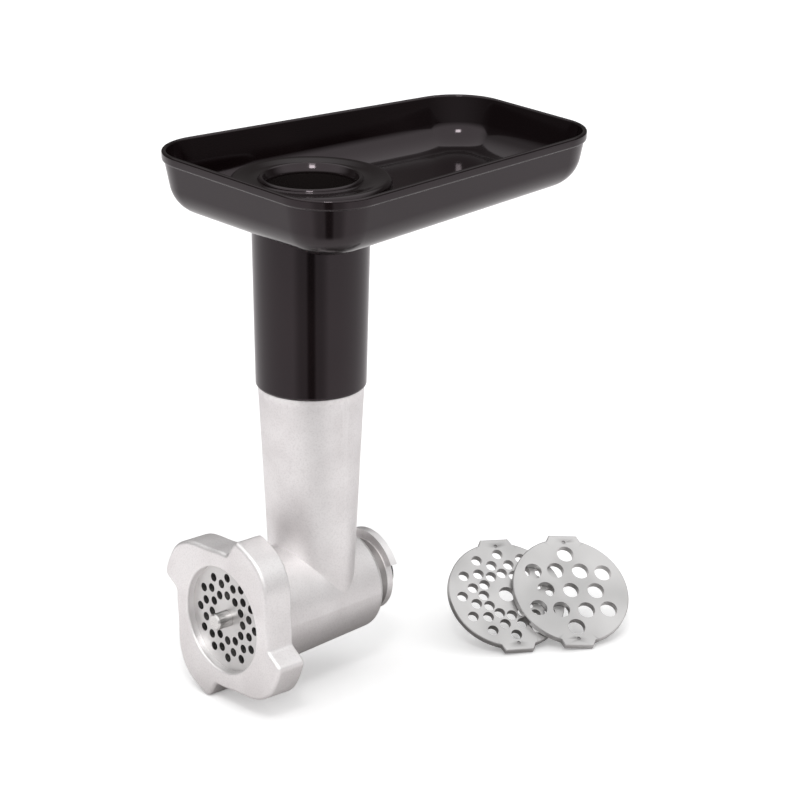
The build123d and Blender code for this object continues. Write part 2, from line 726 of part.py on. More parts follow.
with BuildPart() as hopper_tray:
    with BuildSketch(Plane.XY.offset(RIM_Z)) as wall_top:
        tray_outline(RIM_PROUD, RIM_CORNER_R - RIM_PROUD)
    extrude(wall_top.sketch, amount=-TRAY_BLANK, taper=TRAY_DRAFT)
    split(bisect_by=base_plane(0), keep=Keep.TOP)
    fillet(hopper_tray.faces().sort_by(Axis.Z)[0].outer_wire().edges(), radius=TRAY_BASE_R)
    with BuildSketch(Plane.XY.offset(RIM_Z)) as band:
        tray_outline(0, RIM_CORNER_R)
    extrude(band.sketch, amount=-RIM_BAND)
    chamfer(hopper_tray.faces().sort_by(Axis.Z)[-1].outer_wire().edges(), length=RIM_EDGE)
    add(tray_hollow.part, mode=Mode.SUBTRACT)
    with BuildSketch(Plane.XY.offset(COLLAR_FOOT_Z)) as floor_hole:
        with Locations((0, -FEED_S)):
            Circle(COLLAR_WALL_R)
    extrude(floor_hole.sketch, amount=TRAY_WALL + OVERRUN, both=True, mode=Mode.SUBTRACT)
    with BuildSketch(FEED_PLANE) as collar_profile:
        with BuildLine():
            Polyline(
                (COLLAR_R - COLLAR_EDGE, COLLAR_Z),
                (COLLAR_DISH_R, COLLAR_Z - COLLAR_DISH),
                (LIP_R + LIP_W, COLLAR_Z - COLLAR_DISH + LIP_W / 2.0),
                (LIP_R, LIP_Z),
                (LIP_R - LIP_W, LIP_Z),
                (CHUTE_BORE_R, LIP_Z - LIP_DROP),
                (CHUTE_BORE_R, COLLAR_ROOF_Z),
                (CHUTE_TOP_R + RUN_GAP, COLLAR_ROOF_Z),
                (CHUTE_TOP_R + RUN_GAP, COLLAR_FOOT_Z),
                (SOCKET_WALL_R, COLLAR_FOOT_Z),
                (SOCKET_WALL_R, COLLAR_ROOF_Z),
                (COLLAR_WALL_R, COLLAR_ROOF_Z),
                (COLLAR_WALL_R, COLLAR_FOOT_Z),
                (COLLAR_R, COLLAR_FOOT_Z),
                (COLLAR_R, COLLAR_Z - COLLAR_EDGE),
            )
            RadiusArc((COLLAR_R, COLLAR_Z - COLLAR_EDGE), (COLLAR_R - COLLAR_EDGE, COLLAR_Z), -COLLAR_EDGE)
        make_face()
    revolve(collar_profile.sketch, axis=FEED_AXIS)
finish(hopper_tray, "hopper_tray")

# Feed chute: the sleeve that drops over the housing's spigot and stands in the tray's socket
with BuildPart() as feed_chute:
    with BuildSketch(FEED_PLANE) as chute_profile:
        with BuildLine():
            Polyline(
                (CHUTE_FOOT_R, FEED_TOP_Z + FACE_GAP),
                (CHUTE_TOP_R, CHUTE_KNEE_Z),
                (CHUTE_TOP_R, CHUTE_TOP_Z),
                (CHUTE_BORE_R, CHUTE_TOP_Z),
                (CHUTE_BORE_R, SPIGOT_TOP_Z + STACK_GAP),
                (SPIGOT_R + RUN_GAP, SPIGOT_TOP_Z + STACK_GAP),
                (SPIGOT_R + RUN_GAP, FEED_TOP_Z + FACE_GAP),
                close=True,
            )
        chute_face = make_face()
        fillet(chute_face.vertices().sort_by(Axis.Z)[:2].sort_by(Axis.X)[-1], radius=CHUTE_EDGE)
    revolve(chute_profile.sketch, axis=FEED_AXIS)
finish(feed_chute, "feed_chute")
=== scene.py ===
"""Looks for a stand mixer's mincer attachment: housing, lobed ring nut, plates, black chute and tray.

Everything is in metres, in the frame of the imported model. The barrel runs along Y with its nose towards
-Y, the feed tube stands along +Z, and the origin is on the barrel axis at the rear shoulder.
"""

import logging
import math
from collections.abc import Sequence
from dataclasses import dataclass, field
from enum import Enum
from typing import TypeVar

import bmesh
import bpy
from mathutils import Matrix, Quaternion, Vector


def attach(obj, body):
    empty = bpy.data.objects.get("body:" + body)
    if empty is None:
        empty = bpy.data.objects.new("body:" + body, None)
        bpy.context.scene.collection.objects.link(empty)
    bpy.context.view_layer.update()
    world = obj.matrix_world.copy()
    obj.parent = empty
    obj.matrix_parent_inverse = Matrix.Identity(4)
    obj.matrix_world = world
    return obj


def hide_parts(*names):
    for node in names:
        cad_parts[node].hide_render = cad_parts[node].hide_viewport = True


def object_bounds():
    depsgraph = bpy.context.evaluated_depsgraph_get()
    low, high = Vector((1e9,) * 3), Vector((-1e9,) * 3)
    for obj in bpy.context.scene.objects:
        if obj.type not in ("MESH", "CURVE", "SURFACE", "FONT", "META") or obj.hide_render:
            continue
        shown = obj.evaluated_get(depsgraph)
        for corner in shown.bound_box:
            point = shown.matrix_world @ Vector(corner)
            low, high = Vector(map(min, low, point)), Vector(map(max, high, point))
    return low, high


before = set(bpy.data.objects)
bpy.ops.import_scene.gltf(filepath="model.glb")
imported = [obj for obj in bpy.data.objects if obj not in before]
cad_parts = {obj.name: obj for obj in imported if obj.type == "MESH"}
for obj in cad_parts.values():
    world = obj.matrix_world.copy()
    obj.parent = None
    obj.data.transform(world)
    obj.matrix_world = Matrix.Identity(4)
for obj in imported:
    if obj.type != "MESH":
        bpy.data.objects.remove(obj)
CAD_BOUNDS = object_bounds()
LOG = logging.getLogger("mincer")
MM = 0.001
EVEN = (1.0, 1.0, 1.0)
BELL_REACH = 3.0
WELD = 0.001 * MM

Pair = tuple[float, float]
Triple = tuple[float, float, float]
Quad = tuple[float, float, float, float]
Settings = dict[str, object]
Inputs = dict[object, object]
Ring = list[Vector]
Softened = TypeVar("Softened", float, Vector)


class Slot(Enum):
    """Material slots that the pieces take their finish from."""

    CAST = "cast_aluminium"
    SCREW = "screw_casting"
    TURNED = "turned_steel"
    KNIFE = "knife_steel"
    PLATE = "plate_steel"
    SPARE = "steel_plate_spare"
    GLOSS = "black_gloss"
    BRONZE = "bush_bronze"
    RUBBER = "seal_rubber"
    NYLON = "washer_nylon"
    COUPLING = "coupling_nylon"


class Body(Enum):
    """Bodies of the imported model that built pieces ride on."""

    NUT = "nut"
    TRAY = "tray"


class Socket:
    """A node output with arithmetic: each operator adds one Math node to the tree it came from."""

    def __init__(self, graph: "Graph", output: bpy.types.NodeSocket) -> None:
        """Keep the graph and the output that this value stands for."""
        self.graph = graph
        self.output = output

    def _math(self, operation: str, first: object, second: object = 0.0) -> "Socket":
        """Add one Math node.

        Args:
            operation: Name of the Math node's operation.
            first: First operand, a number or a Socket.
            second: Second operand, a number or a Socket.

        Returns:
            The node's value.
        """
        return self.graph.node("ShaderNodeMath", {"operation": operation}, {0: first, 1: second})

    def __add__(self, other: object) -> "Socket":
        """Sum."""
        return self._math("ADD", self, other)

    __radd__ = __add__

    def __sub__(self, other: object) -> "Socket":
        """Difference."""
        return self._math("SUBTRACT", self, other)

    def __rsub__(self, other: object) -> "Socket":
        """Difference from a number."""
        return self._math("SUBTRACT", other, self)

    def __mul__(self, other: object) -> "Socket":
        """Product."""
        return self._math("MULTIPLY", self, other)

    __rmul__ = __mul__

    def clamped(self, low: float, high: float) -> "Socket":
        """Value held between low and high."""
        return self._math("MINIMUM", self._math("MAXIMUM", self, low), high)

    def ramp(self, start: float, stop: float) -> "Socket":
        """Smooth 0 to 1 step.

        Args:
            start: Value at which the step begins.
            stop: Value at which it is complete.

        Returns:
            The stepped value.
        """
        settings = {"interpolation_type": "SMOOTHSTEP"}
        return self.graph.node("ShaderNodeMapRange", settings, {0: self, 1: start, 2: stop})


class Graph:
    """Node tree of one material or surround, with helpers that add nodes to it."""

    def __init__(self, owner: bpy.types.Material | bpy.types.World) -> None:
        """Turn on the owner's nodes and keep its tree.

        Args:
            owner: Material or world that the nodes belong to.
        """
        owner.use_nodes = True
        self.owner = owner
        self.tree = owner.node_tree

    @classmethod
    def material(cls, name: str) -> "Graph":
        """Start a new material of that name."""
        return cls(bpy.data.materials.new(name))

    def end(self, kind: str) -> bpy.types.Node:
        """Node of a type that the tree began with."""
        return next(n for n in self.tree.nodes if n.type == kind)

    def feed(self, target: bpy.types.NodeSocket, value: object) -> None:
        """Set or link one input.

        Args:
            target: The input socket.
            value: A Socket to link, or a plain value to set.
        """
        if isinstance(value, Socket):
            self.tree.links.new(value.output, target)
        elif isinstance(value, tuple) and len(value) == 3 and target.type == "RGBA":
            target.default_value = (*value, 1.0)
        else:
            target.default_value = value

    def node(self, kind: str, settings: Settings, inputs: Inputs, output: int | str = 0) -> Socket:
        """Add one node.

        Args:
            kind: Blender's node type.
            settings: Properties to set first.
            inputs: Values or Sockets by input name or index.
            output: Name or index of the output to return.

        Returns:
            The chosen output.
        """
        made = self.tree.nodes.new(kind)
        for key, value in settings.items():
            setattr(made, key, value)
        for key, value in inputs.items():
            self.feed(made.inputs[key], value)
        return Socket(self, made.outputs[output])

    def coordinates(self) -> Socket:
        """Object coordinates, in metres in the part's own frame."""
        return self.node("ShaderNodeTexCoord", {}, {}, "Object")

    def vector(
        self, operation: str, first: object, second: object = EVEN, output: int | str = 0
    ) -> Socket:
        """Add one Vector Math node.

        Args:
            operation: Name of the node's operation.
            first: First operand, a vector or a Socket.
            second: Second operand; operations on one vector ignore it.
            output: Name or index of the output to return.

        Returns:
            The chosen output.
        """
        settings = {"operation": operation}
        return self.node("ShaderNodeVectorMath", settings, {0: first, 1: second}, output)

    def noise(self, size: float, detail: float, roughness: float, stretch: Triple = EVEN) -> Socket:
        """Noise of a given grain.

        Args:
            size: Grain size in metres.
            detail: Octaves of detail.
            roughness: Share of the finer octaves.
            stretch: Scale along each axis, for grain drawn out one way.

        Returns:
            The noise, from 0 to 1.
        """
        scaled = self.vector("MULTIPLY", self.coordinates(), stretch)
        values = {"Vector": scaled, "Scale": 1.0 / size, "Detail": detail, "Roughness": roughness}
        return self.node("ShaderNodeTexNoise", {}, values, "Fac")

    def blend(self, amount: object, first: object, second: object) -> Socket:
        """Mix two colours.

        Args:
            amount: Share of the second colour.
            first: Colour at 0.
            second: Colour at 1.

        Returns:
            The mixed colour.
        """
        settings = {"data_type": "RGBA", "clamp_factor": True}
        return self.node("ShaderNodeMix", settings, {0: amount, 6: first, 7: second}, 2)

    def wear(self, low: float, high: float) -> Socket:
        """Mask of the convex edges, from the surface's pointiness.

        Args:
            low: Pointiness at which wear begins.
            high: Pointiness at which it is full.

        Returns:
            The mask, from 0 to 1.
        """
        return self.node("ShaderNodeNewGeometry", {}, {}, "Pointiness").ramp(low, high)

    def bump(
        self, height: Socket, distance: float, strength: float, under: Socket | None = None
    ) -> Socket:
        """Bump a height into a normal.

        Args:
            height: Height, from 0 to 1.
            distance: Depth in metres of a height of 1.
            strength: Share of the bump.
            under: Normal to add to, if any.

        Returns:
            The bumped normal.
        """
        values: Inputs = {"Height": height, "Distance": distance, "Strength": strength}
        if under is not None:
            values["Normal"] = under
        return self.node("ShaderNodeBump", {}, values, "Normal")

    def shade(self, **inputs: object) -> bpy.types.Material:
        """Feed the Principled shader, with underscores for the spaces in its socket names.

        Args:
            inputs: Values or Sockets by socket name.

        Returns:
            The finished material.
        """
        shader = self.end("BSDF_PRINCIPLED")
        for key, value in inputs.items():
            self.feed(shader.inputs[key.replace("_", " ")], value)
        return self.owner


@dataclass(frozen=True)
class CastAluminium:
    """Shot-blasted aluminium casting: fine even grain, faint clouding, edges rubbed brighter."""

    colour: Triple = (0.94, 0.92, 0.92)
    cloud_colour: Triple = (0.85, 0.825, 0.825)
    speck_colour: Triple = (0.66, 0.64, 0.635)
    rubbed: Triple = (0.97, 0.955, 0.955)
    # Painted shade for the neck groove between the rear shoulder and the lug.
    groove_painted_shade: Triple = (0.24, 0.225, 0.22)
    grain: float = 0.5 * MM
    speck: float = 0.9 * MM
    cloud: float = 24 * MM
    clouding: Pair = (0.30, 0.75)
    specking: Pair = (0.38, 0.85)
    speck_share: float = 0.40
    edge_band: Pair = (0.505, 0.56)
    edge_share: float = 0.6
    groove_front: Pair = (0.3 * MM, 1.5 * MM)
    groove_rear: Pair = (6.8 * MM, 7.4 * MM)
    groove_shade_share: float = 0.8
    roughness: float = 0.50
    rough_limits: Pair = (0.18, 0.8)
    metallic: float = 0.86
    pit_depth: float = 0.12 * MM
    grain_depth: float = 0.07 * MM

    def build(self) -> bpy.types.Material:
        """Build the material.

        Returns:
            The material.
        """
        g = Graph.material(Slot.CAST.value)
        fine = g.noise(self.grain, 3.0, 0.6)
        speck = g.noise(self.speck, 2.0, 0.6)
        cloud = g.noise(self.cloud, 3.0, 0.5)
        edge = g.wear(*self.edge_band)
        base = g.blend(cloud.ramp(*self.clouding), self.colour, self.cloud_colour)
        base = g.blend(speck.ramp(*self.specking) * self.speck_share, base, self.speck_colour)
        base = g.blend(edge * self.edge_share, base, self.rubbed)
        # Painted shade: the neck between the rear shoulder and the lug is darkened, standing in for the
        # shade in that groove.
        along = g.node("ShaderNodeSeparateXYZ", {}, {0: g.coordinates()}, "Y")
        groove_shade = along.ramp(*self.groove_front) * (1 - along.ramp(*self.groove_rear))
        base = g.blend(groove_shade * self.groove_shade_share, base, self.groove_painted_shade)
        rough = self.roughness + (fine - 0.5) * 0.25 + (cloud - 0.5) * 0.10 - edge * 0.12
        pits = g.bump(speck, self.pit_depth, 0.5)
        normal = g.bump(fine, self.grain_depth, 0.7, pits)
        rough = rough.clamped(*self.rough_limits)
        return g.shade(Base_Color=base, Metallic=self.metallic, Roughness=rough, Normal=normal)


@dataclass(frozen=True)
class GlossPlastic:
    """Polished dark moulding: deep brown-black, faint flow clouding and hairline handling marks."""

    colour: Triple = (0.0042, 0.0022, 0.0024)
    bloom: Triple = (0.0070, 0.0042, 0.0045)
    rubbed: Triple = (0.030, 0.026, 0.025)
    glint: Quad = (1.0, 0.87, 0.93, 1.0)
    flow: float = 45 * MM
    flow_band: Pair = (0.35, 0.7)
    flow_share: float = 0.7
    smear: float = 14 * MM
    smear_stretch: Triple = (1.0, 1.0, 0.35)
    hair: float = 0.35 * MM
    hair_stretch: Triple = (1.0, 0.06, 0.06)
    hair_band: Pair = (0.62, 0.78)
    edge_band: Pair = (0.52, 0.60)
    edge_share: float = 0.4
    ripple: float = 7 * MM
    ripple_depth: float = 0.03 * MM
    hair_depth: float = 0.004 * MM
    roughness: float = 0.10
    rough_limits: Pair = (0.05, 0.4)
    index: float = 1.48

    def build(self) -> bpy.types.Material:
        """Build the material.

        Returns:
            The material.
        """
        g = Graph.material(Slot.GLOSS.value)
        flow = g.noise(self.flow, 2.0, 0.5)
        smear = g.noise(self.smear, 4.0, 0.6, self.smear_stretch)
        hair = g.noise(self.hair, 2.0, 0.5, self.hair_stretch)
        edge = g.wear(*self.edge_band)
        base = g.blend(flow.ramp(*self.flow_band) * self.flow_share, self.colour, self.bloom)
        base = g.blend(edge * self.edge_share, base, self.rubbed)
        marks = (smear - 0.5) * 0.06 + hair.ramp(*self.hair_band) * 0.04 + edge * 0.06
        wave = g.bump(g.noise(self.ripple, 1.0, 0.4), self.ripple_depth, 0.10)
        return g.shade(
            Base_Color=base,
            Roughness=(self.roughness + marks).clamped(*self.rough_limits),
            IOR=self.index,
            Specular_Tint=self.glint,
            Normal=g.bump(hair, self.hair_depth, 0.15, wave),
        )


@dataclass(frozen=True)
class PlateSteel:
    """Ground stainless plate: a satin face with fine straight grinding lines."""

    slot: Slot = Slot.PLATE
    colour: Triple = (0.58, 0.57, 0.565)
    shade_colour: Triple = (0.47, 0.46, 0.455)
    rubbed: Triple = (0.75, 0.745, 0.74)
    grind: Triple = (0.04, 1.0, 1.0)
    line: float = 0.5 * MM
    line_depth: float = 0.012 * MM
    cloud: float = 14 * MM
    cloud_band: Pair = (0.35, 0.68)
    edge_band: Pair = (0.51, 0.58)
    edge_share: float = 0.5
    roughness: float = 0.34
    rough_limits: Pair = (0.14, 0.6)

    def build(self) -> bpy.types.Material:
        """Build the material.

        Returns:
            The material.
        """
        g = Graph.material(self.slot.value)
        lines = g.noise(self.line, 3.0, 0.6, self.grind)
        cloud = g.noise(self.cloud, 2.0, 0.5)
        edge = g.wear(*self.edge_band)
        # On the fitted plate this clouding is a tone change; on the spare plates its broad dark patches
        # are painted shade and painted reflection.
        base = g.blend(cloud.ramp(*self.cloud_band), self.colour, self.shade_colour)
        base = g.blend(edge * self.edge_share, base, self.rubbed)
        rough = self.roughness + (lines - 0.5) * 0.2 + (cloud - 0.5) * 0.08
        rough = rough.clamped(*self.rough_limits)
        normal = g.bump(lines, self.line_depth, 0.5)
        return g.shade(Base_Color=base, Metallic=1.0, Roughness=rough, Normal=normal)


@dataclass(frozen=True)
class PlainFinish:
    """Any plainer surface: one colour clouded by another, with a grain of its own."""

    slot: Slot
    colour: Triple
    cloud_colour: Triple
    roughness: float
    metallic: float = 0.0
    grain: float = 0.8 * MM
    depth: float = 0.03 * MM
    cloud: float = 9 * MM
    cloud_band: Pair = (0.3, 0.72)
    edge_band: Pair = (0.51, 0.58)
    edge_share: float = 0.5
    rough_limits: Pair = (0.1, 0.95)

    def build(self) -> bpy.types.Material:
        """Build the material.

        Returns:
            The material.
        """
        g = Graph.material(self.slot.value)
        fine = g.noise(self.grain, 3.0, 0.6)
        cloud = g.noise(self.cloud, 3.0, 0.5)
        edge = g.wear(*self.edge_band)
        lift = tuple(min(1.0, part * 1.35 + 0.01) for part in self.colour)
        base = g.blend(cloud.ramp(*self.cloud_band), self.colour, self.cloud_colour)
        base = g.blend(edge * self.edge_share, base, lift)
        rough = (self.roughness + (fine - 0.5) * 0.18 - edge * 0.05).clamped(*self.rough_limits)
        normal = g.bump(fine, self.depth, 0.5)
        return g.shade(Base_Color=base, Metallic=self.metallic, Roughness=rough, Normal=normal)


def even_normals(target: bpy.types.Object) -> None:
    """Weight an object's shading normals by face area.

    Args:
        target: The object.
    """
    weighted = target.modifiers.new("even_normals", "WEIGHTED_NORMAL")
    weighted.keep_sharp = True


class Palette:
    """Every finish of the mincer, built once."""

    def __init__(self) -> None:
        """Build the materials of all the slots."""
        plain = (
            # The screw casting's dark grey is painted shade for its place inside the barrel.
            PlainFinish(Slot.SCREW, (0.42, 0.41, 0.40), (0.34, 0.33, 0.325), 0.50, 0.95),
            PlainFinish(
                Slot.TURNED, (0.70, 0.69, 0.68), (0.58, 0.57, 0.56), 0.30, 1.0, 0.3 * MM, 0.01 * MM
            ),
            # The knife's near-black steel is painted shade for its place inside the nut, behind the
            # plate.
            PlainFinish(Slot.KNIFE, (0.14, 0.138, 0.135), (0.10, 0.099, 0.097), 0.42, 1.0),
            PlainFinish(Slot.BRONZE, (0.52, 0.34, 0.17), (0.40, 0.27, 0.14), 0.45, 1.0),
            PlainFinish(Slot.RUBBER, (0.020, 0.020, 0.020), (0.030, 0.030, 0.030), 0.75),
            PlainFinish(Slot.NYLON, (0.75, 0.73, 0.68), (0.68, 0.66, 0.60), 0.50),
            PlainFinish(Slot.COUPLING, (0.050, 0.050, 0.053), (0.070, 0.070, 0.072), 0.50),
        )
        self.materials = {finish.slot: finish.build() for finish in plain}
        self.materials[Slot.CAST] = CastAluminium().build()
        self.materials[Slot.GLOSS] = GlossPlastic().build()
        self.materials[Slot.PLATE] = PlateSteel().build()
        # The spare plates take a darker copy of the plate steel; their broad light and dark clouding is
        # painted shade and painted reflection.
        spare = PlateSteel(Slot.SPARE, (0.40, 0.39, 0.388), (0.17, 0.165, 0.164), cloud=36 * MM)
        self.materials[Slot.SPARE] = spare.build()

    def dress(self, node: str, slot: Slot) -> None:
        """Give a carried-over part its finish.

        Args:
            node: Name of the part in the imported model.
            slot: Its material slot.
        """
        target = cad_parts[node]
        if not target.material_slots:
            target.data.materials.append(self.materials[slot])
        for entry in target.material_slots:
            entry.material = self.materials[slot]
        even_normals(target)
        LOG.info("%s: %d faces, finish %s", node, len(target.data.polygons), slot.value)


def turned(radius: float, height: float, count: int, centre: Pair) -> Ring:
    """Ring of points round a vertical axis.

    Args:
        radius: Radius in metres.
        height: Height in metres.
        count: Number of points.
        centre: The axis's x and y.

    Returns:
        The points, anticlockwise from +X.
    """
    steps = [2.0 * math.pi * index / count for index in range(count)]
    x, y = centre
    return [Vector((x + radius * math.cos(a), y + radius * math.sin(a), height)) for a in steps]


def arc(centre: Pair, radius: float, start: float, stop: float, count: int) -> list[Pair]:
    """Points of an arc in a profile.

    Args:
        centre: The arc's centre.
        radius: Its radius.
        start: First angle, in degrees.
        stop: Last angle, in degrees.
        count: Number of spans.

    Returns:
        The points, both ends among them.
    """
    angles = [math.radians(start + (stop - start) * index / count) for index in range(count + 1)]
    return [(centre[0] + radius * math.cos(a), centre[1] + radius * math.sin(a)) for a in angles]


def softened(values: Sequence[Softened], spread: float, zero: Softened) -> list[Softened]:
    """Soften a closed run of values with a bell-shaped window.

    Args:
        values: The values in order.
        spread: Width of the bell, in places.
        zero: Zero of the values' own kind, that the sums start from.

    Returns:
        The softened values.
    """
    reach = int(BELL_REACH * spread)
    offsets = range(-reach, reach + 1)
    weights = [math.exp(-0.5 * (offset / spread) ** 2) for offset in offsets]
    soft = []
    for index in range(len(values)):
        window = [values[(index + offset) % len(values)] for offset in offsets]
        total = sum((value * weight for value, weight in zip(window, weights)), zero)
        soft.append(total / sum(weights))
    return soft


class Piece:
    """A closed skin over rings of points, each ring with the same count."""

    def __init__(self, name: str, rings: Sequence[Ring]) -> None:
        """Skin the rings, the last one back to the first.

        Args:
            name: Name of the piece.
            rings: The rings in order.
        """
        self.name = name
        made = bmesh.new()
        loops = [[made.verts.new(point) for point in ring] for ring in rings]
        for here, there in zip(loops, loops[1:] + loops[:1]):
            for index, corner in enumerate(here):
                after = (index + 1) % len(here)
                made.faces.new((corner, here[after], there[after], there[index]))
        bmesh.ops.remove_doubles(made, verts=made.verts, dist=WELD)
        bmesh.ops.recalc_face_normals(made, faces=made.faces)
        self.mesh = bpy.data.meshes.new(name)
        made.to_mesh(self.mesh)
        made.free()

    def place(self, palette: Palette, slot: Slot, body: Body, node: str, crease: float) -> None:
        """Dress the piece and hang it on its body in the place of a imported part.

        Args:
            palette: The finishes.
            slot: The piece's material slot.
            body: The body that it rides on.
            node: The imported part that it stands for.
            crease: Angle above which an edge stays sharp, in degrees.
        """
        self.mesh.materials.append(palette.materials[slot])
        self.mesh.shade_smooth()
        self.mesh.set_sharp_from_angle(angle=math.radians(crease))
        piece = bpy.data.objects.new(self.name, self.mesh)
        bpy.context.scene.collection.objects.link(piece)
        even_normals(piece)
        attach(piece, body.value)
        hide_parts(node)
        LOG.info("%s: %d faces, on %s for %s", self.name, len(self.mesh.polygons), body.value, node)


@dataclass
class HopperTray:
    """Tray of the hopper: a drafted pan under a rolled rim, and the raised collar over the chute."""

    rim_z: float = 223.0 * MM
    front_w: float = 143.2 * MM
    rear_w: float = 103.8 * MM
    length: float = 197.4 * MM
    front_y: float = -78.0 * MM
    corner_r: float = 27.9 * MM
    wall: float = 2.3 * MM
    draft: float = 11.0
    front_depth: float = 31.4 * MM
    rear_depth: float = 27.4 * MM
    base_r: float = 17.0 * MM
    proud: float = 0.35 * MM
    band: float = 4.8 * MM
    lip: float = 0.9 * MM
    feed_y: float = -27.0 * MM
    hole_r: float = 27.0 * MM
    corner_steps: int = 24
    edge_steps: int = 20
    bend_spans: int = 12
    turns: int = 160

    def rim(self) -> list[tuple[Vector, Vector]]:
        """Trace the rim's outline, anticlockwise from the front edge.

        Returns:
            Each point with its inward normal.
        """
        front, rear = self.front_w / 2.0, self.rear_w / 2.0
        back_y = self.front_y + self.length
        places = ((-front, self.front_y), (front, self.front_y), (rear, back_y), (-rear, back_y))
        corners = [Vector(place) for place in places]
        points: list[tuple[Vector, Vector]] = []
        for index, corner in enumerate(corners):
            following = corners[(index + 1) % 4]
            before = (corners[index - 1] - corner).normalized()
            after = (following - corner).normalized()
            half = before.angle(after) / 2.0
            centre = corner + (before + after).normalized() * self.corner_r / math.sin(half)
            first = (corner + before * self.corner_r / math.tan(half) - centre).normalized()
            sweep = math.pi - 2.0 * half
            for step in range(self.corner_steps + 1):
                turn = sweep * step / self.corner_steps
                cosine, sine = math.cos(turn), math.sin(turn)
                out = Vector((first.x * cosine - first.y * sine, first.x * sine + first.y * cosine))
                points.append((centre + out * self.corner_r, -out))
            beyond = (corners[(index + 2) % 4] - following).normalized()
            half_next = (corner - following).normalized().angle(beyond) / 2.0
            leave, inward = points[-1]
            arrive = following - after * self.corner_r / math.tan(half_next)
            for step in range(1, self.edge_steps):
                points.append((leave.lerp(arrive, step / self.edge_steps), inward))
        return points

    def depth(self, y: float) -> float:
        """Depth of the underside below the rim at y, along the tray."""
        share = (y - self.front_y) / self.length
        return self.front_depth + (self.rear_depth - self.front_depth) * share

    def level(self, inset: float, drop: float) -> Ring:
        """Ring at one drop below the rim.

        Args:
            inset: Distance in from the rim's outline.
            drop: Distance below the rim.

        Returns:
            The ring.
        """
        return [Vector((*(point + inward * inset), self.rim_z - drop)) for point, inward in self.rim()]

    def bend(self, skin: float, radius: float, angle: float) -> Ring:
        """Ring in the rounding between wall and base.

        Args:
            skin: Distance in from the outside of the wall and base.
            radius: Radius of the rounding.
            angle: How far round it, from the wall's draft at the top to 90 at the base, in degrees.

        Returns:
            The ring.
        """
        slope = math.radians(self.draft)
        reach = radius * math.cos(slope) - radius * (1.0 - math.sin(slope)) * math.tan(slope)
        offset = reach - radius * math.cos(math.radians(angle))
        ring = []
        for point, inward in self.rim():
            depth = self.depth(point.y) - skin
            inset = self.proud * (skin == 0.0) + skin + depth * math.tan(slope) + offset
            place = point + inward * inset
            rise = radius - radius * math.sin(math.radians(angle))
            ring.append(Vector((*place, self.rim_z - self.depth(place.y) + skin + rise)))
        return ring

    def hole(self, skin: float) -> Ring:
        """Ring of the floor's hole under the collar, matched to the outline.

        Args:
            skin: Height above the underside.

        Returns:
            The ring.
        """
        ring = []
        for point in self.bend(skin, self.base_r - skin, 90.0):
            spoke = Vector((point.x, point.y - self.feed_y)).normalized() * self.hole_r
            y = self.feed_y + spoke.y
            ring.append(Vector((spoke.x, y, self.rim_z - self.depth(y) + skin)))
        return ring

    def pan(self) -> Piece:
        """Skin the pan: hole, underside, outer wall, rim band, rolled lip, inner wall and floor.

        Returns:
            The pan.
        """
        slope = math.tan(math.radians(self.draft))
        spans = self.bend_spans
        bends = [self.draft + (90.0 - self.draft) * index / spans for index in range(spans + 1)]
        foot = self.proud + self.band * slope
        inner = self.wall - self.lip
        origin = (0.0, 0.0)
        rings = [self.hole(0.0)]
        rings += [self.bend(0.0, self.base_r, angle) for angle in reversed(bends)]
        rings.append(self.level(foot + 0.2 * MM * slope, self.band + 0.4 * MM))
        rings.append(self.level(foot - 0.35 * MM, self.band))
        rings.append(self.level(0.30 * MM, self.band - 0.35 * MM))
        rings.append(self.level(0.08 * MM, self.band - 1.0 * MM))
        for x, z in arc(origin, self.lip, 0.0, 90.0, 5):
            rings.append(self.level(self.lip - x, self.lip - z))
        for x, z in arc(origin, self.lip, 90.0, 180.0, 5):
            rings.append(self.level(inner - x, self.lip - z))
        rings += [self.bend(self.wall, self.base_r - self.wall, angle) for angle in bends]
        rings.append(self.hole(self.wall))
        return Piece("tray_pan", rings)

    def collar(self) -> Piece:
        """Turn the collar: outer wall, shoulder, shallow dish, lip round the bore, roof beneath.

        Returns:
            The collar.
        """
        profile = [(39.0, 194.2)]
        profile += arc((36.6, 211.4), 2.4, 0.0, 90.0, 8)
        profile += [(34.2, 213.5), (31.0, 212.7), (28.6, 212.4)]
        profile += arc((26.3, 213.6), 1.2, 250.0, 180.0, 3)
        profile += arc((23.9, 213.2), 1.2, 20.0, 160.0, 8)
        profile += [(22.2, 212.4), (21.3, 211.2), (21.2, 209.8)]
        profile += [(28.66, 209.8), (28.66, 193.8), (31.0, 193.8)]
        profile += [(31.0, 209.7), (35.5, 209.7), (35.5, 193.8)]
        centre = (0.0, self.feed_y)
        return Piece("tray_collar", [turned(r * MM, z * MM, self.turns, centre) for r, z in profile])

    def build(self, palette: Palette) -> None:
        """Build and place the pan and its collar.

        Args:
            palette: The finishes.
        """
        self.pan().place(palette, Slot.GLOSS, Body.TRAY, "hopper_tray", 50.0)
        self.collar().place(palette, Slot.GLOSS, Body.TRAY, "hopper_tray", 40.0)


